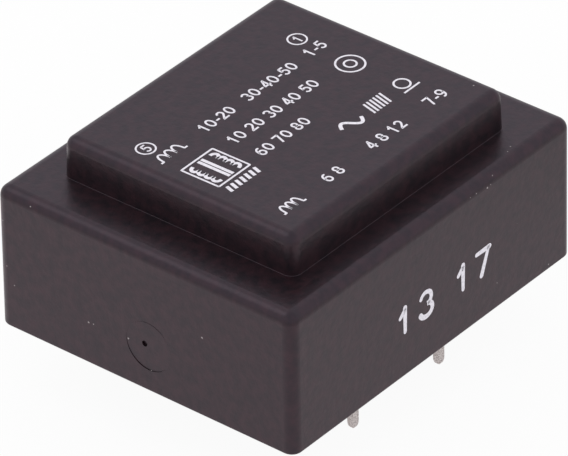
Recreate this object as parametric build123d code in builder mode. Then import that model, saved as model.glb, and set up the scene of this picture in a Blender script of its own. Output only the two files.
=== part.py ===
import os
from math import copysign, cos, hypot, radians, sin, sqrt, tan

from build123d import *

os.makedirs("parts", exist_ok=True)

# Potted mains transformer for a circuit board, in millimetres, +Z up.
# Origin: centre of the body on the seating plane of its rim.
# X runs along the pin rows. Pins 1 to 5 are the row at +Y, pins 6 to 10 the row at -Y.

# Core: E and I sheets, with the three legs along Y
leg_width = 10.0
outer_leg_width = 5.0
yoke_width = 5.0
window_width = 5.0
window_length = 15.0
sheet_thickness = 0.5
sheet_count = 10

# Bobbin: a tube on the centre leg, with two chambers side by side
leg_gap = 0.1
tube_wall = 0.65
tube_corner_radius = 0.5
flange_thickness = 0.8
divider_thickness = 1.0
secondary_chamber = 5.6
window_gap = 0.2
flange_lip = 0.23
flange_corner_radius = 0.8

# Windings and their tape
winding_gap = 1.03
winding_corner_radius = 1.5
tape_thickness = 0.12
tape_margin = 0.4

# Pins and the rails that hold them, under the two yokes
pin_side = 0.64
pin_reach = 5.2
pin_end_wall = 0.8
pin_tip_length = 0.45
pin_tip_inset = 0.16
pin_pitch = 5.0
pins_per_row = 5
fitted_pins = (1, 5, 7, 9)
rail_end = 1.8
rail_inset = 0.3
rail_slot_width = 1.0
rail_slot_depth = 0.7

# Leads from the windings, wrapped and soldered under the rails
wire_radius = 0.1
lead_gap = 0.15
lead_slant = 2.0
wrap_radius = 0.75
notch_gap = 0.1

# Housing: a drafted cup with a raised hood over the coil
wall = 1.0
roof = 1.0
core_clearance = 0.105
core_headroom = 0.9
hood_gap_x = 1.4
hood_gap_y = 2.35
case_draft = 0.26
hood_draft = 1.66
case_edge_radius = 0.88
hood_edge_radius = 0.85
hood_foot_radius = 0.03
rim_edge_radius = 0.2

# Gate mark on the -X face: a flat disc, sunk at its foot and proud at its top, and a pit near its middle
gate_disc_shift = -0.45
gate_disc_height = 3.9
gate_disc_radius = 2.03
gate_disc_depth = 0.015
gate_disc_tilt = 1.0
gate_disc_reach = 0.3
gate_pit_shift = -0.1
gate_pit_height = 4.02
gate_pit_radius = 0.24
gate_pit_depth = 0.2

# Resin: its level below the rim, and where it creeps down walls and pins
resin_recess = 0.6
resin_cover = 0.2
creep_height = 0.3
creep_radius = 0.28
creep_land = 0.05
pin_creep_radius = 0.8

# Core and coil, worked out from the sizes above
core_width = leg_width + 2 * (window_width + outer_leg_width)
core_length = window_length + 2 * yoke_width
core_stack = sheet_count * sheet_thickness
winding_build = window_width - leg_gap - tube_wall - tape_thickness - winding_gap
tube_width = leg_width + 2 * (leg_gap + tube_wall)
tube_height = core_stack + 2 * (leg_gap + tube_wall)
winding_width = tube_width + 2 * winding_build
winding_height = tube_height + 2 * winding_build
flange_width = leg_width + 2 * (window_width - window_gap)
flange_height = winding_height + 2 * (tape_thickness + flange_lip)
bobbin_length = window_length - 2 * window_gap
primary_chamber = bobbin_length - 2 * flange_thickness - divider_thickness - secondary_chamber
secondary_start = -bobbin_length / 2 + flange_thickness
divider_start = secondary_start + secondary_chamber
primary_start = divider_start + divider_thickness

# Levels, from the resin upwards
flange_bottom = resin_recess + resin_cover
coil_middle = flange_bottom + flange_height / 2
core_bottom = coil_middle - core_stack / 2
core_top = coil_middle + core_stack / 2
wire_level = coil_middle - winding_height / 2 + 2 * wire_radius
rail_bottom = wire_level + wire_radius + lead_gap
pin_top = core_bottom - pin_end_wall

# Pin rows, and the notches through which the leads pass the flanges
row_end = (pins_per_row - 1) * pin_pitch / 2
row_side = (core_length - yoke_width) / 2
rail_outside = core_length / 2 - rail_inset
notch_side = (bobbin_length - flange_thickness) / 2
lead_slope = lead_slant / (row_side - notch_side)
notch_width = lead_slope * flange_thickness + 2 * (wire_radius * sqrt(1 + lead_slope**2) + notch_gap)

# Housing, drafted so that the core still clears its walls at the top
draft_room = core_top * tan(radians(case_draft))
hollow_length = core_width + 2 * (core_clearance + draft_room)
hollow_width = core_length + 2 * (core_clearance + draft_room)
case_length = hollow_length + 2 * wall
case_width = hollow_width + 2 * wall
shoulder_height = core_top + core_headroom + roof
case_height = flange_bottom + flange_height + roof
hood_length = flange_width + 2 * (hood_gap_x + wall)
hood_width = bobbin_length + 2 * (hood_gap_y + wall)


def upright(edges):
    """Edges that run up a drafted side."""
    return edges.filter_by(lambda edge: abs(edge.tangent_at(0.5).Z) > 0.9)


def within(edges, length, width):
    """Edges whose middle lies inside a rectangle of this size about the Z axis."""
    return edges.filter_by(
        lambda edge: abs(edge.position_at(0.5).X) < length / 2 + 0.01
        and abs(edge.position_at(0.5).Y) < width / 2 + 0.01
    )


def across(start):
    """Plane square to the coil's axis, at this Y, facing +Y."""
    return Plane(origin=(0, start, coil_middle), x_dir=(1, 0, 0), z_dir=(0, 1, 0))


def pin_place(number):
    """X and Y of a pin: 1 is at +X +Y, and the numbers run round the body."""
    if number <= pins_per_row:
        return row_end - (number - 1) * pin_pitch, row_side
    return (number - pins_per_row - 1) * pin_pitch - row_end, -row_side


def notch_place(number):
    """X and Y of the flange notch that this pin's lead comes through."""
    pin_x, pin_y = pin_place(number)
    return pin_x - copysign(lead_slant, pin_x), copysign(notch_side, pin_y)


def on_gate_face(shift, height, depth=0.0, tilt=0.0):
    """Plane on the drafted -X face, this deep in it, facing out and tilted down by this many degrees."""
    draft = radians(case_draft)
    lean = radians(case_draft - tilt)
    return Plane(
        origin=(height * tan(draft) - case_length / 2 + depth, shift, height),
        x_dir=(0, -1, 0),
        z_dir=(-cos(lean), 0, sin(lean)),
    )


def write(part, name):
    part.label = name
    export_step(part, f"parts/{name}.step")


# Core sheets, laid in by turns from either end, so that each joint is bridged by the next sheet
for number in range(1, sheet_count + 1):
    sheet_plane = Plane.XY.offset(core_bottom + (number - 1) * sheet_thickness)
    i_side = 1 if number % 2 else -1

    with BuildPart() as e_lamination:
        with BuildSketch(sheet_plane):
            with Locations((0, -i_side * yoke_width / 2)):
                Rectangle(core_width, core_length - yoke_width)
            with GridLocations(leg_width + window_width, 0, 2, 1):
                Rectangle(window_width, window_length, mode=Mode.SUBTRACT)
        extrude(amount=sheet_thickness)
    write(e_lamination.part, f"e_lamination_{number}")

    with BuildPart() as i_lamination:
        with BuildSketch(sheet_plane):
            with Locations((0, i_side * (core_length - yoke_width) / 2)):
                Rectangle(core_width, yoke_width)
        extrude(amount=sheet_thickness)
    write(i_lamination.part, f"i_lamination_{number}")

# The space that the whole stack takes
with BuildPart() as core_block:
    with BuildSketch(Plane.XY.offset(core_bottom)):
        Rectangle(core_width, core_length)
        with GridLocations(leg_width + window_width, 0, 2, 1):
            Rectangle(window_width, window_length, mode=Mode.SUBTRACT)
    extrude(amount=core_stack)

# Bobbin, moulded in one piece: tube, flanges and divider, then the rails with their pin holes
with BuildPart() as bobbin:
    with BuildSketch(across(-bobbin_length / 2)):
        RectangleRounded(tube_width, tube_height, tube_corner_radius)
    extrude(amount=bobbin_length)
    for start, thickness in (
        (-bobbin_length / 2, flange_thickness),
        (divider_start, divider_thickness),
        (bobbin_length / 2 - flange_thickness, flange_thickness),
    ):
        with BuildSketch(across(start)):
            RectangleRounded(flange_width, flange_height, flange_corner_radius)
        extrude(amount=thickness)
    with BuildSketch(Plane.XY.offset(rail_bottom)):
        with GridLocations(0, rail_outside + bobbin_length / 2, 1, 2):
            Rectangle(2 * (row_end + rail_end), rail_outside - bobbin_length / 2)
        with GridLocations(pin_pitch, 2 * rail_outside, pins_per_row - 1, 2):
            Rectangle(rail_slot_width, 2 * rail_slot_depth, mode=Mode.SUBTRACT)
    extrude(amount=core_bottom - rail_bottom)
    with BuildSketch(Plane.XY.offset(rail_bottom)):
        with GridLocations(pin_pitch, 2 * row_side, pins_per_row, 2):
            Rectangle(pin_side, pin_side)
    extrude(amount=pin_top - rail_bottom, mode=Mode.SUBTRACT)
    with BuildSketch(Plane.XY.offset(flange_bottom)):
        with Locations(*[notch_place(number) for number in fitted_pins]):
            Rectangle(notch_width, flange_thickness)
    extrude(amount=rail_bottom - flange_bottom, mode=Mode.SUBTRACT)
    with BuildSketch(across(-bobbin_length / 2)):
        Rectangle(leg_width + 2 * leg_gap, core_stack + 2 * leg_gap)
    extrude(amount=bobbin_length, mode=Mode.SUBTRACT)
write(bobbin.part, "bobbin")

# A winding fills its chamber from the tube outwards, and the tape goes round it
windings = []
tapes = []
for name, start, chamber in (
    ("primary", primary_start, primary_chamber),
    ("secondary", secondary_start, secondary_chamber),
):
    with BuildPart() as winding:
        with BuildSketch(across(start)):
            RectangleRounded(winding_width, winding_height, winding_corner_radius)
            RectangleRounded(tube_width, tube_height, tube_corner_radius, mode=Mode.SUBTRACT)
        extrude(amount=chamber)
    write(winding.part, f"{name}_winding")
    windings.append(winding.part)

    with BuildPart() as tape:
        with BuildSketch(across(start + tape_margin)):
            RectangleRounded(
                winding_width + 2 * tape_thickness,
                winding_height + 2 * tape_thickness,
                winding_corner_radius + tape_thickness,
            )
            RectangleRounded(winding_width, winding_height, winding_corner_radius, mode=Mode.SUBTRACT)
        extrude(amount=chamber - 2 * tape_margin)
    write(tape.part, f"{name}_tape")
    tapes.append(tape.part)

# Pins, pressed into the rails, and the leads that run from the windings and are wrapped round them
pins = []
leads = []
for number in fitted_pins:
    pin_x, pin_y = pin_place(number)
    with BuildPart() as pin:
        with BuildSketch(Plane.XY.offset(-pin_reach + pin_tip_length)) as shank_section:
            with Locations((pin_x, pin_y)):
                Rectangle(pin_side, pin_side)
        extrude(amount=pin_top + pin_reach - pin_tip_length)
        with BuildSketch(Plane.XY.offset(-pin_reach)):
            with Locations((pin_x, pin_y)):
                Rectangle(pin_side - 2 * pin_tip_inset, pin_side - 2 * pin_tip_inset)
        add(shank_section.sketch)
        loft()
    write(pin.part, f"pin_{number}")
    pins.append(pin.part)

    notch_x, notch_y = notch_place(number)
    along_lead = Vector(pin_x - notch_x, pin_y - notch_y).normalized()
    lead_start = Vector(notch_x, notch_y, wire_level) - along_lead * flange_thickness
    with BuildPart() as lead:
        with BuildSketch(Plane(origin=lead_start, z_dir=along_lead)):
            Circle(wire_radius)
        extrude(amount=flange_thickness + hypot(pin_x - notch_x, pin_y - notch_y))
        with BuildSketch(Plane.XY.offset(flange_bottom)):
            with Locations((pin_x, pin_y)):
                Circle(wrap_radius)
        extrude(amount=rail_bottom - flange_bottom)
        for piece in [pin.part] + windings:
            add(piece, mode=Mode.SUBTRACT)
    write(lead.part, f"lead_{number}")
    leads.append(lead.part)

# The hollow of the cup: a lower room for the core and an upper room for the coil
with BuildPart() as hollow:
    with BuildSketch():
        Rectangle(hollow_length, hollow_width)
    extrude(amount=shoulder_height - roof, taper=case_draft)
    fillet(upright(hollow.edges()), core_clearance + draft_room)
    with BuildSketch(Plane.XY.offset(shoulder_height - roof)):
        Rectangle(hood_length - 2 * wall, hood_width - 2 * wall)
    extrude(amount=case_height - shoulder_height, taper=hood_draft)

# Outside of the hood, drafted and rounded
with BuildPart() as hood:
    with BuildSketch(Plane.XY.offset(shoulder_height)):
        Rectangle(hood_length, hood_width)
    extrude(amount=case_height - shoulder_height, taper=hood_draft)
    fillet(upright(hood.edges()) + hood.faces().sort_by(Axis.Z)[-1].edges(), hood_edge_radius)

# Housing: the lower block with the hood on it, hollowed from below, with the mark of the gate
with BuildPart() as housing:
    with BuildSketch():
        Rectangle(case_length, case_width)
    extrude(amount=shoulder_height, taper=case_draft)
    fillet(upright(housing.edges()) + housing.faces().sort_by(Axis.Z)[-1].edges(), case_edge_radius)
    fillet(housing.faces().sort_by(Axis.Z)[0].edges(), rim_edge_radius)
    add(hood.part)
    shoulder_edges = housing.edges().filter_by_position(Axis.Z, shoulder_height, shoulder_height)
    fillet(within(shoulder_edges, hood_length, hood_width), hood_foot_radius)
    add(hollow.part, mode=Mode.SUBTRACT)
    disc_plane = on_gate_face(gate_disc_shift, gate_disc_height, gate_disc_depth, gate_disc_tilt)
    with BuildSketch(disc_plane) as gate_disc:
        Circle(gate_disc_radius)
    extrude(amount=gate_disc_reach, mode=Mode.SUBTRACT)
    extrude(gate_disc.sketch, amount=-gate_disc_reach)
    with BuildSketch(on_gate_face(gate_pit_shift, gate_pit_height)):
        Circle(gate_pit_radius)
    extrude(amount=gate_pit_depth, both=True, mode=Mode.SUBTRACT)
write(housing.part, "housing")

# The space between the rim's plane and the resin, which creeps a little down the walls
with BuildPart() as recess:
    with BuildSketch():
        Rectangle(case_length, case_width)
    extrude(amount=resin_recess - creep_height)
    with BuildSketch(Plane.XY.offset(resin_recess - creep_height)):
        Rectangle(hollow_length - 2 * creep_land, hollow_width - 2 * creep_land)
    extrude(amount=creep_height)
    fillet(recess.faces().sort_by(Axis.Z)[-1].edges(), creep_radius)

# Resin: it fills whatever the other pieces leave of the hollow
with BuildPart() as potting_resin:
    add(hollow.part)
    add(recess.part, mode=Mode.SUBTRACT)
    with Locations(*[(*pin_place(number), resin_recess - creep_height / 2) for number in fitted_pins]):
        Cone(pin_side / sqrt(2) + creep_land, pin_creep_radius, creep_height)
    for piece in [core_block.part, bobbin.part] + windings + tapes + pins + leads:
        add(piece, mode=Mode.SUBTRACT)
write(potting_resin.part, "potting_resin")
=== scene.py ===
from math import cos, pi, radians, sin

import bpy
import numpy as np
from mathutils import Matrix, Vector


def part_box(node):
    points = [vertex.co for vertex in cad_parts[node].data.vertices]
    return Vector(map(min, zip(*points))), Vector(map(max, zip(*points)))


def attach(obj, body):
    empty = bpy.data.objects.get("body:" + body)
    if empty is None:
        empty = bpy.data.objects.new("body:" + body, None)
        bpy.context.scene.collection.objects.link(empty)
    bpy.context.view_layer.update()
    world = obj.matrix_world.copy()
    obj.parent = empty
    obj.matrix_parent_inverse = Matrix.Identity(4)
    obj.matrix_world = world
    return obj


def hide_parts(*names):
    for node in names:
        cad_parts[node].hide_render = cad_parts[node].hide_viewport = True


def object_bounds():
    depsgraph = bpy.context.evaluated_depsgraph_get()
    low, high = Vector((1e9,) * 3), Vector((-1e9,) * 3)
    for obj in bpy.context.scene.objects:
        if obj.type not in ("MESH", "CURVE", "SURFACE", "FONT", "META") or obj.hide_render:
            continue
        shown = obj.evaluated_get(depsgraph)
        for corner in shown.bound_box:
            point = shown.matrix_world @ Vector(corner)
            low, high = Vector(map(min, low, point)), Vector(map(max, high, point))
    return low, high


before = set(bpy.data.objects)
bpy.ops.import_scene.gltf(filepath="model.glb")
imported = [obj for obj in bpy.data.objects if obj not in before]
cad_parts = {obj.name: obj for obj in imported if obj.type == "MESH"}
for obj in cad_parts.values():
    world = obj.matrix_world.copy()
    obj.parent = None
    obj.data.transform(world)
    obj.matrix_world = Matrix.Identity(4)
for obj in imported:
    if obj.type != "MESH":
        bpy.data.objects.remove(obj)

# Potted mains transformer for a circuit board. Metres; X along the pin rows, +Z up, rim at z = 0.
# The long face with the printed numbers looks along -Y, the short one with the gate mark along -X.
mm = 0.001
micron = 0.000001
cadBox = [list(corner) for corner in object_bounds()]
caseLow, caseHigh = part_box("housing")
floorLevel = cadBox[0][2]
print("frame loaded:", len(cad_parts), "nodes")

# Camera, at the photograph's place
cameraView = {
    "aim": (-1.05, -0.63, 6.02),   # mm, what lies at the middle of the picture
    "azimuth": -50.362,            # degrees, 0 looks along +Y
    "elevation": 34.294,
    "roll": -1.074,
    "distance": 495.1,             # mm
    "lens": 435.58,                # mm
    "sensor": 36.0,                # mm wide
    "clip": (0.01, 10.0),          # m, nearest and farthest that it sees
}


def makeCamera(view):
    azimuth = radians(view["azimuth"])
    elevation = radians(view["elevation"])
    back = Vector((sin(azimuth) * cos(elevation), -cos(azimuth) * cos(elevation), sin(elevation)))
    right = Vector((0, 0, 1)).cross(back).normalized()
    up = back.cross(right)
    turn = Matrix((right, up, back)).transposed() @ Matrix.Rotation(radians(view["roll"]), 3, "Z")
    lens = bpy.data.cameras.new("photoCamera")
    lens.lens = view["lens"]
    lens.sensor_width = view["sensor"]
    lens.clip_start, lens.clip_end = view["clip"]
    camera = bpy.data.objects.new("photoCamera", lens)
    place = (Vector(view["aim"]) + back * view["distance"]) * mm
    camera.matrix_world = Matrix.Translation(place) @ turn.to_4x4()
    bpy.context.scene.collection.objects.link(camera)
    bpy.context.scene.camera = camera


makeCamera(cameraView)
bpy.context.scene.view_settings.view_transform = "Standard"


def addNode(tree, kind, inputs=None, **settings):
    # one shader node, its inputs given as plain values or as the sockets that feed them
    node = tree.nodes.new("ShaderNode" + kind)
    for name, value in settings.items():
        setattr(node, name, value)
    for name, value in (inputs or {}).items():
        if isinstance(value, bpy.types.NodeSocket):
            tree.links.new(value, node.inputs[name])
        else:
            node.inputs[name].default_value = value
    return node


def compute(tree, operation, first, second=0.0, third=0.0):
    return addNode(tree, "Math", {0: first, 1: second, 2: third}, operation=operation).outputs[0]


def rescale(tree, value, fromLow, fromHigh, low, high, curve="LINEAR"):
    # maps one span onto another, held at its ends
    ends = {"From Min": fromLow, "From Max": fromHigh, "To Min": low, "To Max": high}
    return addNode(tree, "MapRange", {"Value": value, **ends}, interpolation_type=curve).outputs[0]


def blend(tree, share, first, second):
    # inputs 2 and 3 of a plain mix are its two numbers
    return addNode(tree, "Mix", {0: share, 2: first, 3: second}).outputs[0]


def blendColour(tree, share, first, second):
    # inputs 6 and 7 of a colour mix are its two colours
    return addNode(tree, "Mix", {0: share, 6: first, 7: second}, data_type="RGBA").outputs[2]


def feed(tree, shader, **sockets):
    # links worked-out sockets and sets plain values on the shader, by input names written together
    names = {key.replace(" ", "").lower(): key for key in shader.inputs.keys()}
    for name, value in sockets.items():
        target = shader.inputs[names[name.lower()]]
        if isinstance(value, bpy.types.NodeSocket):
            tree.links.new(value, target)
        else:
            target.default_value = value


def sightRays(tree):
    # 1 where the camera looks straight at a surface, and 1 where it is mirrored or seen through glass
    rays = addNode(tree, "LightPath").outputs
    mirrored = compute(tree, "MAXIMUM", rays["Is Glossy Ray"], rays["Is Transmission Ray"])
    return rays["Is Camera Ray"], mirrored


# Studio: an even white surround, one soft lamp behind and to the left, and a white floor
white = (1, 1, 1, 1)
studio = {
    "ambient": 1.0,                # strength of the surround on matt surfaces
    "backdrop": 1.0,               # as the camera sees it
    "walls": 0.81,                 # in reflections
    "wallTone": (1.0, 0.97, 1.05, 1),      # its tone in them
    "floorWhite": (0.86, 0.86, 0.865, 1),  # its plain colour
    "floorSize": 2.4,              # m
    "floorGlow": 0.94,             # share of plain white in what the camera sees of the floor
    "floorSheen": 0.5,             # the same for reflections
    "floorTone": (1.0, 0.90, 0.925, 1),    # its tone in them
    "pool": (-12, 12),             # mm, middle of the brighter part that reflections show
    "poolReach": (20, 90),         # mm from there, where it starts and stops fading
    "poolLight": (1.15, 0.40),     # strength in the middle and far out
    "lampSize": 0.2,               # m
    "lampPlace": (-0.13, 0.20, 0.32),      # m
    "lampPower": 0.09,             # W
}


def makeWorld(values):
    world = bpy.data.worlds.new("whiteRoom")
    world.use_nodes = True
    bpy.context.scene.world = world
    tree = world.node_tree
    direct, mirrored = sightRays(tree)
    strength = blend(tree, mirrored, values["ambient"], values["walls"])
    strength = blend(tree, direct, strength, values["backdrop"])
    tone = blendColour(tree, mirrored, white, values["wallTone"])
    feed(tree, tree.nodes["Background"], Strength=strength, Color=tone)


def makeFloor(values):
    half = values["floorSize"] / 2
    corners = [(x * half, y * half, floorLevel) for x, y in ((-1, -1), (1, -1), (1, 1), (-1, 1))]
    mesh = bpy.data.meshes.new("floor")
    mesh.from_pydata(corners, [], [(0, 1, 2, 3)])
    floor = bpy.data.objects.new("floor", mesh)
    bpy.context.scene.collection.objects.link(floor)
    material = bpy.data.materials.new("whiteFloor")
    material.use_nodes = True
    tree = material.node_tree
    tree.nodes.clear()
    direct, mirrored = sightRays(tree)
    share = compute(tree, "MULTIPLY", direct, values["floorGlow"])
    share = compute(tree, "MULTIPLY_ADD", mirrored, values["floorSheen"], share)
    matt = addNode(tree, "BsdfDiffuse", {"Color": values["floorWhite"]}).outputs[0]
    place = addNode(tree, "TexCoord").outputs["Object"]
    middle = [length * mm for length in values["pool"]] + [floorLevel]
    away = addNode(tree, "VectorMath", {0: place, 1: middle}, operation="DISTANCE").outputs["Value"]
    start, stop = values["poolReach"]
    pool = rescale(tree, away, start * mm, stop * mm, *values["poolLight"], curve="SMOOTHSTEP")
    strength = blend(tree, mirrored, 1.0, pool)
    tone = blendColour(tree, mirrored, white, values["floorTone"])
    glow = addNode(tree, "Emission", {"Color": tone, "Strength": strength}).outputs[0]
    seen = addNode(tree, "MixShader", {0: share, 1: matt, 2: glow}).outputs[0]
    clear = addNode(tree, "BsdfTransparent").outputs[0]
    below = addNode(tree, "NewGeometry").outputs["Backfacing"]
    surface = addNode(tree, "MixShader", {0: below, 1: seen, 2: clear}).outputs[0]     # clear from below
    addNode(tree, "OutputMaterial", {"Surface": surface})
    mesh.materials.append(material)


def makeLamp(values):
    light = bpy.data.lights.new("softLamp", "AREA")
    light.size = values["lampSize"]
    light.energy = values["lampPower"]
    lamp = bpy.data.objects.new("softLamp", light)
    place = Vector(values["lampPlace"])
    turn = place.to_track_quat("Z", "Y")       # a lamp shines along its own -Z
    lamp.matrix_world = Matrix.Translation(place) @ turn.to_matrix().to_4x4()
    bpy.context.scene.collection.objects.link(lamp)


makeWorld(studio)
makeFloor(studio)
makeLamp(studio)
print("studio made")


# Spans of noise values that are spread over the whole of a finish, the narrower one with more contrast
narrowSpan = (0.35, 0.65)
wideSpan = (0.3, 0.7)


def startMaterial(name):
    material = bpy.data.materials.new(name)
    material.use_nodes = True
    tree = material.node_tree
    place = addNode(tree, "TexCoord").outputs["Object"]
    return material, tree, tree.nodes["Principled BSDF"], place


def grain(tree, place, size, detail=2.0):
    # noise whose features are about this many millimetres across
    inputs = {"Vector": place, "Scale": 1 / (size * mm), "Detail": detail}
    return addNode(tree, "TexNoise", inputs).outputs[0]


def stretch(tree, place, factors):
    return addNode(tree, "VectorMath", {0: place, 1: factors}, operation="MULTIPLY").outputs[0]


def relief(tree, height, depth, under=None):
    # bump this many micrometres deep, on top of another one where that is given
    inputs = {"Height": height, "Distance": depth * micron, "Strength": 1.0}
    if under is not None:
        inputs["Normal"] = under
    return addNode(tree, "Bump", inputs).outputs[0]


def markMask(tree, place, marks, tear, core):
    # 1 inside small spots given as x, y, z and radius in mm, fading from the core's share of the radius
    # outwards, with edges torn by a noise as coarse as the tear and half as strong to either side
    wobble = addNode(tree, "TexNoise", {"Vector": place, "Scale": 1 / (tear * mm)}).outputs[1]
    wobble = addNode(tree, "VectorMath", {0: wobble, 1: (0.5, 0.5, 0.5)}, operation="SUBTRACT").outputs[0]
    reach = (tear * mm,) * 3
    torn = addNode(tree, "VectorMath", {0: wobble, 1: reach, 2: place}, operation="MULTIPLY_ADD").outputs[0]
    mask = 0.0
    for x, y, z, radius in marks:
        inputs = {0: torn, 1: (x * mm, y * mm, z * mm)}
        away = addNode(tree, "VectorMath", inputs, operation="DISTANCE").outputs["Value"]
        spot = rescale(tree, away, radius * core * mm, radius * mm, 1, 0)
        mask = compute(tree, "MAXIMUM", spot, mask)
    return mask


# Housing: near-black moulded plastic with a fine spark-eroded grain and a few light chips
casePlastic = {
    "dark": (0.0050, 0.0032, 0.0042, 1),
    "light": (0.0180, 0.0070, 0.0090, 1),
    "sheen": (1.0, 0.835, 0.965, 1),   # tint of its reflections
    "chip": (0.34, 0.31, 0.31, 1),
    "patch": 0.8,                  # mm
    "grain": 0.16,
    "grainDepth": 2.2,             # micrometres
    "mottle": 0.42,                # mm
    "mottleDepth": 14.0,
    "wave": 2.4,                   # mm, gentle unevenness of the faces
    "waveDepth": 8.0,
    "roughness": (0.30, 0.36),
    "specular": 0.55,
    "refraction": 1.5,
    "chipTear": 0.12,              # mm, how ragged the chips are
    "chipCore": 0.6,               # share of a chip's radius that is fully light
    "chipRoughness": 0.3,          # added to the roughness there
    # x, y, z and radius of each chip, mm
    "chips": [
        (-16.1, 5.12, 3.62, 0.10), (-16.1, 4.66, 3.66, 0.08), (-16.1, 1.42, 3.80, 0.09),
        (-16.08, -5.45, 6.83, 0.10), (-16.05, 13.0, 9.1, 0.07), (-16.08, 12.75, 5.25, 0.08),
        (6.1, -13.6, 11.05, 0.09), (5.75, -13.62, 11.2, 0.06), (6.5, -13.6, 11.1, 0.05),
        (7.2, -13.62, 2.2, 0.05), (9.6, -13.6, 6.1, 0.05), (4.17, -13.57, 11.23, 0.05),
        (4.86, -13.58, 11.21, 0.05), (6.95, -13.40, 11.57, 0.05), (9.66, -12.67, 11.9, 0.06),
        (10.31, -12.45, 11.9, 0.05), (13.35, -13.65, 0.47, 0.06), (-16.02, 10.32, 11.38, 0.06),
        (-16.13, 12.10, 3.85, 0.06), (-16.09, -0.63, 1.89, 0.05), (11.02, -8.55, 15.2, 0.06),
    ],
}


def makeCasePlastic(values):
    material, tree, shader, place = startMaterial("moulded plastic")
    patch = grain(tree, place, values["patch"], detail=3.0)
    colour = blendColour(tree, rescale(tree, patch, *narrowSpan, 0, 1), values["dark"], values["light"])
    chips = markMask(tree, place, values["chips"], values["chipTear"], values["chipCore"])
    fine = grain(tree, place, values["grain"])
    rough = rescale(tree, fine, *wideSpan, *values["roughness"])
    rough = compute(tree, "MULTIPLY_ADD", chips, values["chipRoughness"], rough)
    normal = relief(tree, grain(tree, place, values["wave"]), values["waveDepth"])
    normal = relief(tree, grain(tree, place, values["mottle"]), values["mottleDepth"], under=normal)
    normal = relief(tree, fine, values["grainDepth"], under=normal)
    feed(tree, shader, BaseColor=blendColour(tree, chips, colour, values["chip"]), Normal=normal)
    feed(tree, shader, Roughness=rough, IOR=values["refraction"])
    feed(tree, shader, SpecularIORLevel=values["specular"], SpecularTint=values["sheen"])
    return material


# Resin: dark and glossy, with a slightly uneven skin and a few pinholes
resin = {
    "dark": (0.010, 0.009, 0.010, 1),
    "light": (0.021, 0.018, 0.018, 1),
    "patch": 2.6,                  # mm
    "wave": 1.3,
    "waveDepth": 16.0,             # micrometres
    "pinhole": 1.6,                # mm between pinholes
    "pinholeWall": (0.04, 0.09),   # share of that distance, where a pinhole's wall starts and stops
    "pinholeDepth": 30.0,
    "roughness": (0.14, 0.30),
    "refraction": 1.52,
}


def makeResin(values):
    material, tree, shader, place = startMaterial("cast resin")
    patch = grain(tree, place, values["patch"], detail=3.0)
    colour = blendColour(tree, rescale(tree, patch, *narrowSpan, 0, 1), values["dark"], values["light"])
    wave = relief(tree, grain(tree, place, values["wave"]), values["waveDepth"])
    inputs = {"Vector": place, "Scale": 1 / (values["pinhole"] * mm)}
    cell = addNode(tree, "TexVoronoi", inputs).outputs["Distance"]
    hole = rescale(tree, cell, *values["pinholeWall"], 0, 1)
    normal = relief(tree, hole, values["pinholeDepth"], under=wave)
    feed(tree, shader, BaseColor=colour, Normal=normal, IOR=values["refraction"])
    feed(tree, shader, Roughness=rescale(tree, patch, *narrowSpan, *values["roughness"]))
    return material


# Tinned pins and solder: dull bright metal, drawn along the pin
tin = {
    "dark": (0.43, 0.415, 0.39, 1),
    "light": (0.84, 0.82, 0.79, 1),
    "streak": 0.09,                # mm across
    "streakLength": 6.0,           # times as long
    "streakDepth": 5.0,            # micrometres
    "grain": 0.11,
    "grainDepth": 3.0,
    "roughness": (0.30, 0.48),
}


def makeTin(values, name, drawn):
    material, tree, shader, place = startMaterial(name)
    along = 1 / values["streakLength"] if drawn else 1
    streak = grain(tree, stretch(tree, place, (1, 1, along)), values["streak"])
    fine = grain(tree, place, values["grain"], detail=4.0)
    colour = blendColour(tree, rescale(tree, fine, *narrowSpan, 0, 1), values["dark"], values["light"])
    normal = relief(tree, streak, values["streakDepth"])
    normal = relief(tree, fine, values["grainDepth"], under=normal)
    feed(tree, shader, BaseColor=colour, Normal=normal, Metallic=1.0)
    feed(tree, shader, Roughness=rescale(tree, streak, *wideSpan, *values["roughness"]))
    return material


# Windings: turns of enamelled wire side by side along the coil's axis, with painted shade in the grooves
# between them
copper = {
    "dark": (0.30, 0.075, 0.022, 1),
    "light": (0.62, 0.21, 0.07, 1),
    "turn": 0.2,                   # mm from turn to turn
    "turnDepth": 60.0,             # micrometres
    "wander": 0.3,                 # how far the turns stray from straight
    "patch": 0.7,                  # mm along the coil
    "patchLength": 8.0,            # times as long round it
    "metallic": 0.6,
    "roughness": (0.22, 0.36),
}


def makeCopper(values):
    material, tree, shader, place = startMaterial("enamelled copper")
    scale = 2 * pi / 20 / (values["turn"] * mm)     # at scale 1, a band comes every 2 pi / 20 units
    bands = {"wave_type": "BANDS", "bands_direction": "Y", "wave_profile": "SIN"}
    inputs = {"Vector": place, "Scale": scale, "Distortion": values["wander"]}
    turns = addNode(tree, "TexWave", inputs, **bands).outputs[1]
    patch = grain(tree, stretch(tree, place, (1, values["patchLength"], 1)), values["patch"])
    # painted shade: the colour is darker where the turns' relief is low, in the grooves between turns, and
    # also varies at random along the coil with the patches
    colour = blendColour(tree, compute(tree, "MULTIPLY", turns, patch), values["dark"], values["light"])
    normal = relief(tree, turns, values["turnDepth"])
    feed(tree, shader, BaseColor=colour, Metallic=values["metallic"], Normal=normal)
    feed(tree, shader, Roughness=rescale(tree, patch, *wideSpan, *values["roughness"]))
    return material


# Tape: thin yellow film, wound with overlapping edges
tape = {
    "dark": (0.62, 0.38, 0.04, 1),
    "light": (0.83, 0.58, 0.10, 1),
    "crease": 1.1,                 # mm along the coil
    "creaseLength": 3.0,           # times as long round it
    "creaseDepth": 12.0,           # micrometres
    "roughness": (0.18, 0.34),
}


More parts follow.
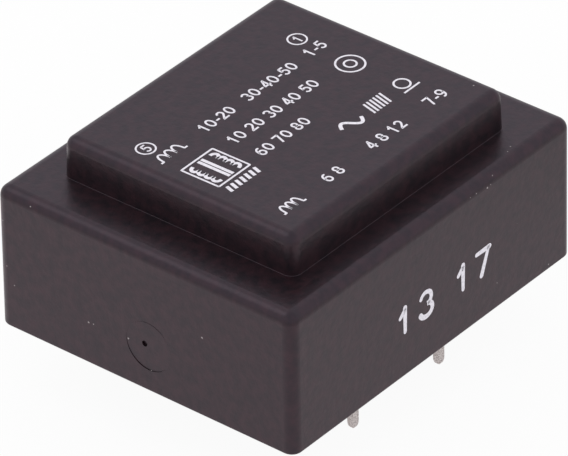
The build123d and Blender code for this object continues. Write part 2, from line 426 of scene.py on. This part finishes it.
def makeTape(values):
    material, tree, shader, place = startMaterial("insulating tape")
    wound = stretch(tree, place, (1, values["creaseLength"], 1))
    crease = grain(tree, wound, values["crease"], detail=4.0)
    colour = blendColour(tree, rescale(tree, crease, *narrowSpan, 0, 1), values["dark"], values["light"])
    feed(tree, shader, BaseColor=colour, Normal=relief(tree, crease, values["creaseDepth"]))
    feed(tree, shader, Roughness=rescale(tree, crease, *wideSpan, *values["roughness"]))
    return material


# Core sheets: rolled silicon steel with a blue-grey annealing skin
steel = {
    "dark": (0.10, 0.105, 0.12, 1),
    "light": (0.26, 0.27, 0.30, 1),
    "rolling": 0.12,               # mm across the rolling lines
    "rollingLength": 40.0,         # times as long
    "rollingDepth": 1.5,           # micrometres
    "rollingShare": 0.4,           # how much the lines show in the colour, beside the patches
    "patch": 4.0,                  # mm
    "metallic": 0.85,
    "roughness": (0.34, 0.52),
}


def makeSteel(values):
    material, tree, shader, place = startMaterial("core steel")
    lines = grain(tree, stretch(tree, place, (1, 1 / values["rollingLength"], 1)), values["rolling"])
    patch = grain(tree, place, values["patch"], detail=4.0)
    shade = compute(tree, "MULTIPLY_ADD", lines, values["rollingShare"], patch)
    normal = relief(tree, lines, values["rollingDepth"])
    colour = blendColour(tree, shade, values["dark"], values["light"])
    feed(tree, shader, BaseColor=colour, Metallic=values["metallic"], Normal=normal)
    feed(tree, shader, Roughness=rescale(tree, lines, *wideSpan, *values["roughness"]))
    return material


# Bobbin: natural glass-filled plastic, with fibres just showing
bobbinPlastic = {
    "dark": (0.60, 0.57, 0.49, 1),
    "light": (0.76, 0.74, 0.67, 1),
    "fibre": 0.05,                 # mm across
    "fibreLength": 8.0,            # times as long
    "fibreDepth": 2.0,             # micrometres
    "roughness": (0.42, 0.56),
}


def makeBobbinPlastic(values):
    material, tree, shader, place = startMaterial("bobbin plastic")
    drawn = stretch(tree, place, (1, 1 / values["fibreLength"], 1))
    fibres = grain(tree, drawn, values["fibre"], detail=3.0)
    colour = blendColour(tree, rescale(tree, fibres, *wideSpan, 0, 1), values["dark"], values["light"])
    feed(tree, shader, BaseColor=colour, Normal=relief(tree, fibres, values["fibreDepth"]))
    feed(tree, shader, Roughness=rescale(tree, fibres, *wideSpan, *values["roughness"]))
    return material


# Ink: white, printed a little unevenly
ink = {
    "thin": (0.60, 0.58, 0.65, 1),
    "full": (0.84, 0.81, 0.88, 1),
    "patch": 0.22,                 # mm
    "patchSpan": (0.25, 0.5),      # noise values between which the ink goes from thin to full
    "patchDepth": 2.0,             # micrometres
    "roughness": 0.45,
}


def makeInk(values):
    material, tree, shader, place = startMaterial("white ink")
    patch = grain(tree, place, values["patch"], detail=3.0)
    cover = rescale(tree, patch, *values["patchSpan"], 0, 1)
    colour = blendColour(tree, cover, values["thin"], values["full"])
    feed(tree, shader, BaseColor=colour, Roughness=values["roughness"])
    feed(tree, shader, Normal=relief(tree, patch, values["patchDepth"]))
    return material


whiteInk = makeInk(ink)
tinnedPin = makeTin(tin, "tinned pin", drawn=True)
finishes = {
    "housing": makeCasePlastic(casePlastic),
    "potting_resin": makeResin(resin),
    "bobbin": makeBobbinPlastic(bobbinPlastic),
    "winding": makeCopper(copper),
    "tape": makeTape(tape),
    "lamination": makeSteel(steel),
    "pin": tinnedPin,
    "lead": makeTin(tin, "soldered lead", drawn=False),
}


def dressNodes():
    # each node's name holds the word that picks its finish
    for name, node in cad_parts.items():
        word = next(word for word in finishes if word in name)
        node.data.materials.clear()
        node.data.materials.append(finishes[word])


dressNodes()
print("finishes given to", len(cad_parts), "nodes")


def meshObject(name, points, faces, material, smooth=True):
    mesh = bpy.data.meshes.new(name)
    mesh.from_pydata(points.tolist(), [], faces)
    mesh.materials.append(material)
    if smooth:
        mesh.shade_smooth()
    else:
        mesh.shade_flat()
    piece = bpy.data.objects.new(name, mesh)
    bpy.context.scene.collection.objects.link(piece)
    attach(piece, "root")
    return piece


def wrapFaces(rows, columns, loop=False, first=0):
    # Quads between neighbouring rows of a grid whose columns close on themselves, its points counted
    # from the first on. A loop joins its last row to its first, and anything else gets a lid at both ends.
    here = np.arange(rows if loop else rows - 1)[:, None] * columns
    there = (here + columns) % (rows * columns)
    column = np.arange(columns)
    following = (column + 1) % columns
    corners = [here + column, here + following, there + following, there + column]
    faces = (first + np.stack(corners, -1)).reshape(-1, 4).tolist()
    if not loop:
        faces.append((first + column[::-1]).tolist())
        faces.append((first + (rows - 1) * columns + column).tolist())
    return faces


# Print: strokes laid on a face as thin ribbons, their centre lines made of these
def line(x0, y0, x1, y1, count=8):
    # straight: the two ends, mixed by a share that runs from 0 to 1
    share = np.linspace(0, 1, count)[:, None]
    return (1 - share) * (x0, y0) + share * (x1, y1)


def arc(x, y, radiusX, radiusY, start, end, count=32):
    # part of an ellipse: x and y plus the radii times the cosine and sine of an angle, given in degrees
    angle = np.radians(np.linspace(start, end, count))
    return np.stack([x + radiusX * np.cos(angle), y + radiusY * np.sin(angle)], -1)


def sine(x, y, length, height, count=60):
    # one full wave: y plus the height times the sine of a turn that keeps pace with x
    share = np.linspace(0, 1, count)
    return np.stack([x + share * length, y + height * np.sin(2 * pi * share)], -1)


def evenly(path, step, least=1e-9):
    # the same path with its points about a step apart, measured along it, and points that lie closer
    # together than the least taken as one
    length = np.r_[0, np.cumsum(np.hypot(*np.diff(path, axis=0).T))]
    keep = np.r_[True, np.diff(length) > least]
    stations = np.linspace(0, length[-1], max(2, int(round(length[-1] / step)) + 1))
    return np.stack([np.interp(stations, length[keep], path[keep, axis]) for axis in (0, 1)], -1)


strokeShape = {
    "step": 0.45,                  # stations along a stroke, as a share of its width
    "widest": 0.35,                # mm, the width that counts for a wider stroke
    "across": (1, 1, 0.72, -0.72, -1, -1),     # section of a stroke, in half widths
    "upward": (-0.4, 0.5, 1, 1, 0.5, -0.4),    # and in thicknesses above the face
    "capTurns": (90, 72, 54, 36, 18),          # degrees, stations of a round end
    "capLeast": 0.08,              # share of the half width left at its very end
}


def ribbon(path, width, thickness, ends="flat", loop=False, taper=0.0):
    # Grid: stations along the path, by the points of a section, a flat bar with bevelled top edges.
    # A point lies to the side of its station by its across times the half width, and above the face
    # by its upward times the thickness.
    # Round ends carry the bar on past the path by half its width, narrowing as a half circle does.
    # A taper widens the bar by that share at its start and narrows it by as much at its end, and
    # a negative one does the opposite.
    path = evenly(path, min(width, strokeShape["widest"]) * strokeShape["step"])
    if loop:
        path = path[:-1]
        ahead = np.roll(path, -1, 0) - np.roll(path, 1, 0)
    else:
        ahead = np.gradient(path, axis=0)
    ahead /= np.hypot(*ahead.T)[:, None]
    half = np.full(len(path), width / 2) * (1 + taper * np.linspace(1, -1, len(path)))
    if ends == "round" and not loop:
        turn = np.radians(strokeShape["capTurns"])
        before = path[0] - ahead[0] * half[0] * np.sin(turn)[:, None]
        after = path[-1] + ahead[-1] * half[-1] * np.sin(turn[::-1])[:, None]
        path = np.vstack([before, path, after])
        ahead = np.vstack([np.repeat(ahead[:1], len(turn), 0), ahead, np.repeat(ahead[-1:], len(turn), 0)])
        narrowing = np.maximum(np.cos(turn), strokeShape["capLeast"])
        half = np.r_[half[0] * narrowing, half, half[-1] * narrowing[::-1]]
    side = np.stack([ahead[:, 1], -ahead[:, 0]], -1)
    across = np.array(strokeShape["across"])
    upward = np.array(strokeShape["upward"]) * thickness
    flat = path[:, None] + side[:, None] * (half[:, None] * across)[..., None]
    raised = np.broadcast_to(upward[None, :, None], flat.shape[:2] + (1,))
    return np.concatenate([flat, raised], -1), loop


def layPrint(name, ribbons, origin, axes):
    # Carries the ribbons from their flat sheet to a face as one piece: each point is the face's origin
    # plus its three numbers times the face's two directions and its normal.
    faces, first = [], 0
    for grid, loop in ribbons:
        rows, columns = grid.shape[:2]
        faces += wrapFaces(rows, columns, loop, first)
        first += rows * columns
    points = np.vstack([grid.reshape(-1, 3) for grid, loop in ribbons])
    places = (origin + points @ axes) * mm
    meshObject(name, places, faces, whiteInk, smooth=False)


# Centre lines of plain numerals, in a box one unit high and about 0.6 wide
numerals = {
    "0": [arc(0.31, 0.5, 0.30, 0.5, 0, 360)],
    "1": [line(0.36, -0.09, 0.36, 1.09), line(0.08, 0.72, 0.33, 0.96)],
    "2": [
        np.vstack([arc(0.31, 0.71, 0.27, 0.29, 168, -36), line(0.50, 0.50, 0.03, 0.02)]),
        line(-0.06, 0.0, 0.66, 0.0),
    ],
    "3": [np.vstack([arc(0.31, 0.74, 0.26, 0.26, 160, -80), arc(0.32, 0.265, 0.30, 0.265, 80, -160)])],
    "4": [line(0.46, -0.09, 0.46, 1.09), line(0.42, 0.98, 0.02, 0.34), line(-0.06, 0.27, 0.70, 0.27)],
    "5": [line(0.10, 1.0, 0.62, 1.0), line(0.14, 0.98, 0.07, 0.48), arc(0.30, 0.31, 0.29, 0.31, 138, -155)],
    "6": [arc(0.31, 0.31, 0.28, 0.31, 0, 360), arc(0.41, 0.47, 0.38, 0.53, 72, 190)],
    "7": [line(-0.06, 1.0, 0.64, 1.0), line(0.60, 1.03, 0.21, -0.09)],
    "8": [arc(0.31, 0.75, 0.24, 0.25, 0, 360), arc(0.31, 0.26, 0.29, 0.26, 0, 360)],
    "9": [arc(0.31, 0.69, 0.28, 0.31, 0, 360), arc(0.21, 0.53, 0.38, 0.53, 10, -108)],
    "-": [line(-0.04, 0.36, 0.36, 0.36)],
    " ": [],
}
spacing = {"numeral": 0.79, "-": 0.47, " ": 0.40}      # from one sign to the next, in heights


def writeNumbers(text, x, y, height, stroke):
    # centre lines of a row of numerals whose outer lower left corner is at x, y
    tall = height - stroke
    strokes = []
    for sign in text:
        strokes += [path * tall + (x + stroke / 2, y + stroke / 2) for path in numerals[sign]]
        x += spacing.get(sign, spacing["numeral"]) * height
    return strokes


def coil(x, y, radius, height, count, lead):
    # a row of half ellipses between two short straight leads, the plain sign for a winding
    end = x + 2 * count * radius
    middles = x + radius * np.arange(1, 2 * count, 2)
    bumps = [arc(middle, y, radius, height, 180, 0) for middle in middles]
    return np.vstack([line(x - lead, y, x, y), *bumps, line(end, y, end + lead, y)])


# Print on the top: plain numbers and plain signs
topPrint = {
    "turn": 0.65,                  # degrees, the print sits a little askew
    "thickness": 0.02,             # mm
    "stroke": 0.158,
    "fine": 0.135,                 # for the circled numbers and their rings
    "bold": 0.28,                  # for the wave and what stands in the frame
    # numbers, left end, foot and height of each row
    "rows": [
        ("1-5", 6.85, 2.93, 1.06), ("10-20", -5.45, 2.80, 1.03), ("30-40-50", -0.42, 2.84, 1.04),
        ("10 20 30 40 50", -5.36, 0.20, 1.05), ("60 70 80", -5.32, -2.34, 1.03),
        ("6 8", -5.12, -8.15, 1.04), ("4 8 12", 0.04, -8.05, 1.05), ("7-9", 7.01, -7.94, 1.07),
    ],
    "circled": [("5", -9.90, 4.47, 0.92), ("1", 7.82, 4.79, 0.89)],
    "rings": [(-9.60, 4.94, 0.72), (8.12, 5.25, 0.72)],    # middle and radius of each
    "target": [(7.87, 0.17, 1.10), (7.87, 0.17, 0.47)],    # the same
    "underlined": (8.03, -4.42, 0.62),                     # the same, with a line under it
    "underline": (0.9, 0.28),      # half the line's length, and its distance from the ring
    "wave": (0.68, -4.70, 2.2, 0.52),                      # left end, level, length and height
    # rows of slanted lines: left end, foot, length, height, lean, stroke and number
    "hatches": [(3.85, -5.25, 2.2, 1.36, 0.35, 0.175, 6), (-10.12, -3.38, 3.55, 0.70, 0.22, 0.27, 7)],
    # left end, foot, radius, height, number of turns and length of a lead
    "coils": [(-10.15, 2.80, 0.38, 0.86, 3, 0.304), (-9.95, -8.10, 0.32, 0.86, 3, 0.256)],
    "frame": (-10.25, -2.25, 3.50, 3.42),                  # left end, foot, width and height
    "arches": 4,                   # on each side of the core in the frame
    "archShare": 0.095,            # an arch's radius along the core, of the frame's height
    "archReach": 1.35,             # radii that it stands out from its foot
    "archPlace": 0.95,             # mm from the core's middle to the feet
    "corePlace": 0.19,             # mm from there to each of the core's two lines
    "coreRun": 0.15,               # mm that they run on past the arches
}


def hatch(x, y, length, height, lean, stroke, count):
    # a row of evenly spaced lines, each leaning to the right by this much over its height
    lefts = x + length * np.arange(count) / count
    return [(line(left, y, left + lean, y + height), stroke) for left in lefts]


def frameSign(values):
    # a square frame round the plain sign for a transformer: two windings beside a core
    x, y, width, height = values["frame"]
    corners = np.array([(x, y), (x + width, y), (x + width, y + height), (x, y + height), (x, y)])
    bold, run = values["bold"], values["coreRun"]
    middle = x + width / 2
    radius = height * values["archShare"]
    reach = radius * values["archReach"]
    start = y + height / 2 - values["arches"] * radius
    end = start + 2 * values["arches"] * radius
    yield corners, values["stroke"]
    for side in (-1, 1):
        core = middle + side * values["corePlace"]
        foot = middle + side * values["archPlace"]
        yield line(core, start - run, core, end + run), bold
        for level in start + radius * np.arange(1, 2 * values["arches"], 2):
            yield arc(foot, level, reach, radius, 180 - 90 * side, -90 * side), bold


def openSigns(values):
    # every open stroke of the top print, with its width
    stroke, fine = values["stroke"], values["fine"]
    for row in values["rows"]:
        yield from ((path, stroke) for path in writeNumbers(*row, stroke))
    for row in values["circled"]:
        yield from ((path, fine) for path in writeNumbers(*row, fine))
    yield from frameSign(values)
    yield from ((coil(*sign), stroke) for sign in values["coils"])
    yield sine(*values["wave"]), values["bold"]
    for row in values["hatches"]:
        yield from hatch(*row)
    x, y, radius = values["underlined"]
    half, gap = values["underline"]
    yield line(x - half, y - radius - gap, x + half, y - radius - gap), stroke


def makeTopPrint(values):
    thickness = values["thickness"]
    ribbons = [ribbon(path, width, thickness) for path, width in openSigns(values)]
    circles = [(ring, values["fine"]) for ring in values["rings"]]
    circles += [(ring, values["stroke"]) for ring in values["target"] + [values["underlined"]]]
    for (x, y, radius), width in circles:
        ribbons.append(ribbon(arc(x, y, radius, radius, 0, 360), width, thickness, loop=True))
    turn = radians(values["turn"])
    axes = np.array([(cos(turn), sin(turn), 0), (-sin(turn), cos(turn), 0), (0, 0, 1)])
    layPrint("top_print", ribbons, np.array((0, 0, caseHigh.z / mm)), axes)


makeTopPrint(topPrint)
print("top print laid")

# Numbers on the long face, drawn with a round-nosed pen
sidePrint = {
    "thickness": 0.02,             # mm
    "stroke": 0.40,
    "taper": -0.12,                # a stroke starts narrower by this share and ends as much wider
    "widen": 1.12,                 # times as wide as the plain numerals
    "draft": 0.26,                 # degrees, the face's lean
    # numeral, left end, foot and height of each
    "numbers": [
        ("1", -4.40, 3.80, 2.14), ("3", -2.02, 3.64, 2.50),
        ("1", 2.30, 3.80, 2.14), ("7", 4.72, 3.82, 2.30),
    ],
}


def makeSidePrint(values):
    stroke, thickness = values["stroke"], values["thickness"]
    ribbons = []
    for sign, x, z, height in values["numbers"]:
        for path in writeNumbers(sign, 0, z, height, stroke):
            placed = path * (values["widen"], 1) + (x, 0)
            ribbons.append(ribbon(placed, stroke, thickness, ends="round", taper=values["taper"]))
    lean = radians(values["draft"])
    axes = np.array([(1, 0, 0), (0, sin(lean), cos(lean)), (0, -cos(lean), sin(lean))])
    layPrint("side_print", ribbons, np.array((0, caseLow.y / mm, 0)), axes)


makeSidePrint(sidePrint)
print("side print laid")

# Pins: square wire with rounded corners and a blunt rounded tip
pinShape = {
    "corner": 9.0,                 # power of the rounded square
    "tipLength": 0.62,             # mm
    "tipShare": 0.42,              # share of the half width left at the very tip
    "tipPower": 2.2,               # 2 for a tip that is a true quarter ellipse
    "around": 72,                  # points round the pin
    "levels": 60,
    "crowding": 2,                 # power that brings the levels closer together at the tip
}


def pinSurface(low, high, values):
    # Grid: levels up the pin, by angles round it. Each level is a rounded square, its radius
    # half / (|cos|^n + |sin|^n)^(1/n), and half shrinks to the tip about as a quarter ellipse does.
    middle = np.array([(low.x + high.x) / 2, (low.y + high.y) / 2])
    half = (high.x - low.x) / 2
    angle = np.linspace(0, 2 * pi, values["around"], endpoint=False)
    power = values["corner"]
    radius = (np.abs(np.cos(angle)) ** power + np.abs(np.sin(angle)) ** power) ** (-1 / power)
    tip = values["tipLength"] * mm
    level = low.z + (high.z - low.z) * np.linspace(0, 1, values["levels"]) ** values["crowding"]
    depth = np.clip(1 - (level - low.z) / tip, 0, 1)
    share = values["tipShare"]
    size = half * (share + (1 - share) * np.sqrt(1 - depth ** values["tipPower"]))
    ring = np.stack([np.cos(angle), np.sin(angle)], -1) * radius[:, None]
    flat = middle + size[:, None, None] * ring
    upward = np.broadcast_to(level[:, None, None], flat.shape[:2] + (1,))
    return np.concatenate([flat, upward], -1)


def makePins(values):
    names = [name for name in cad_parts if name.startswith("pin_")]
    for name in names:
        grid = pinSurface(*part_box(name), values)
        faces = wrapFaces(*grid.shape[:2])
        piece = meshObject(name + "_tinned", grid.reshape(-1, 3), faces, tinnedPin)
        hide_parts(name)


makePins(pinShape)
print("pins made")
